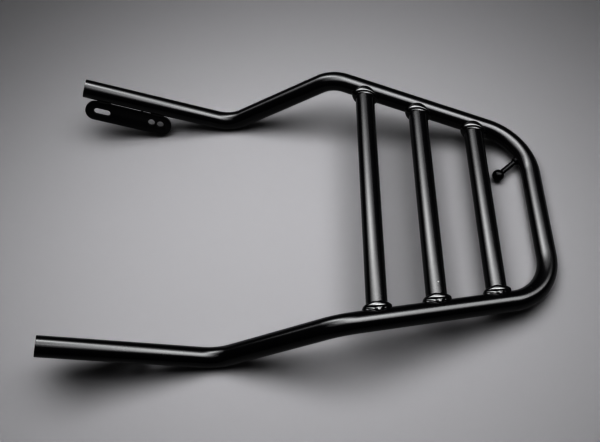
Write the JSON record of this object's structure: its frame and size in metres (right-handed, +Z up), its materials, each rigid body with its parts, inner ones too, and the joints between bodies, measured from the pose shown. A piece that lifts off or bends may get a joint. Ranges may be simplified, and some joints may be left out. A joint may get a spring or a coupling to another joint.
{
  "type": "motorcycle luggage rack",
  "caption": "Tubular steel luggage rack for a motorcycle: a bent hoop with cross tubes welded between its rails, slotted plates under the front arms and a ball peg at one corner.",
  "frame": {"origin": "centre of the footprint on the floor, with the rack lying on its two low bends and its rear bar", "axes": "+X to the rear bar, +Y to the side that has the ball peg, +Z up"},
  "size_m": [0.5494, 0.366, 0.0868],
  "materials": {
    "coated_tube": "gloss",
    "coated_weld": "gloss",
    "coated_plate": "satin",
    "coated_peg": "gloss"
  },
  "bodies": {
    "root": {"rear_loop": "coated_tube", "rail_far": "coated_tube", "rail_near": "coated_tube", "riser_far": "coated_tube", "riser_near": "coated_tube", "arm_far": "coated_tube", "arm_near": "coated_tube", "cross_tube_rear": "coated_tube", "cross_tube_middle": "coated_tube", "cross_tube_front": "coated_tube", "weld_rear_far": "coated_weld", "weld_middle_far": "coated_weld", "weld_front_far": "coated_weld", "weld_rear_near": "coated_weld", "weld_middle_near": "coated_weld", "weld_front_near": "coated_weld", "bracket_far": "coated_plate", "bracket_near": "coated_plate", "bracket_weld_end_far": "coated_weld", "bracket_weld_end_near": "coated_weld", "bracket_weld_bend_far": "coated_weld", "bracket_weld_bend_near": "coated_weld", "bracket_backweld_end_far": "coated_weld", "bracket_backweld_end_near": "coated_weld", "bracket_backweld_bend_far": "coated_weld", "bracket_backweld_bend_near": "coated_weld", "bracket_tack_far": "coated_weld", "bracket_tack_near": "coated_weld", "ball_peg": "coated_peg", "peg_weld": "coated_weld"}
  },
  "joints": []
}
